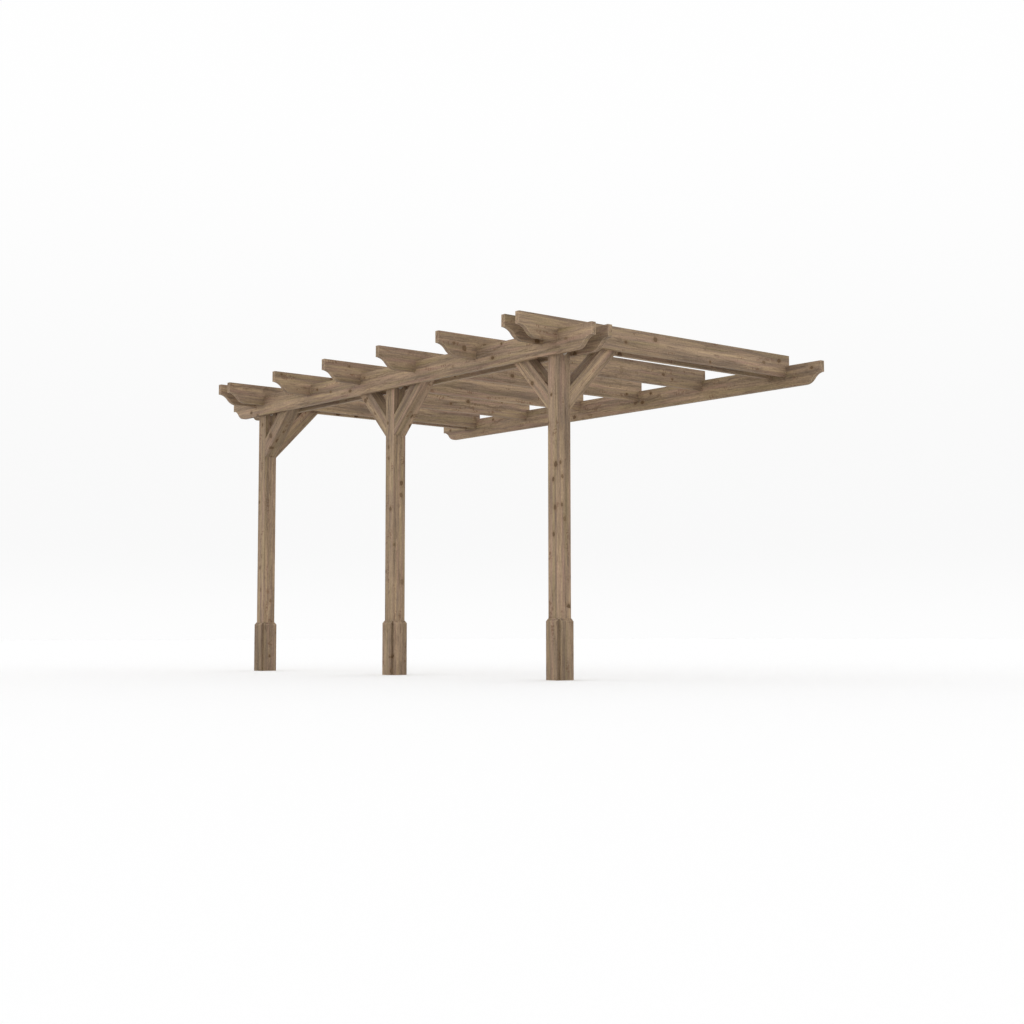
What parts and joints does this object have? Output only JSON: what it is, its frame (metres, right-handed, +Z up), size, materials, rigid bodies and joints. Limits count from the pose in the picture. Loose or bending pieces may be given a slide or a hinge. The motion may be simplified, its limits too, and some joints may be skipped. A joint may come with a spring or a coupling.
{
  "type": "wall-mounted pergola",
  "caption": "Open timber pergola whose rafters run from a wall plate over a pair of beams on braced square posts with planked feet.",
  "frame": {"origin": "middle of the wall plate's back face, which bears on the wall, 2.025 m above the ground", "axes": "+X along the wall to the right as seen from the front, +Y from the front into the wall, +Z up"},
  "size_m": [4.176, 2.406, 2.171],
  "materials": {
    "post_timber": "planed softwood post with a brown treatment, matt",
    "plank_timber": "planed softwood board with a brown treatment, matt",
    "brace_timber": "planed softwood brace with a brown treatment, matt",
    "beam_timber": "planed softwood beam with a brown treatment, matt",
    "rafter_timber": "planed softwood rafter with a brown treatment, matt",
    "galvanised_steel": "dull zinc coating"
  },
  "bodies": {
    "root": {"left_post": "post_timber", "middle_post": "post_timber", "right_post": "post_timber", "left_post_plank_right": "plank_timber", "left_post_plank_wall": "plank_timber", "left_post_plank_left": "plank_timber", "left_post_plank_front": "plank_timber", "middle_post_plank_right": "plank_timber", "middle_post_plank_wall": "plank_timber", "middle_post_plank_left": "plank_timber", "middle_post_plank_front": "plank_timber", "right_post_plank_right": "plank_timber", "right_post_plank_wall": "plank_timber", "right_post_plank_left": "plank_timber", "right_post_plank_front": "plank_timber", "left_post_brace_right": "brace_timber", "left_post_brace_wall": "brace_timber", "middle_post_brace_left": "brace_timber", "middle_post_brace_right": "brace_timber", "right_post_brace_left": "brace_timber", "right_post_brace_wall": "brace_timber", "front_beam": "beam_timber", "back_beam": "beam_timber", "wall_plate": "beam_timber", "rafter_1": "rafter_timber", "rafter_2": "rafter_timber", "rafter_3": "rafter_timber", "rafter_4": "rafter_timber", "rafter_5": "rafter_timber", "rafter_6": "rafter_timber", "rafter_7": "rafter_timber", "rafter_8": "rafter_timber"}
  },
  "joints": []
}
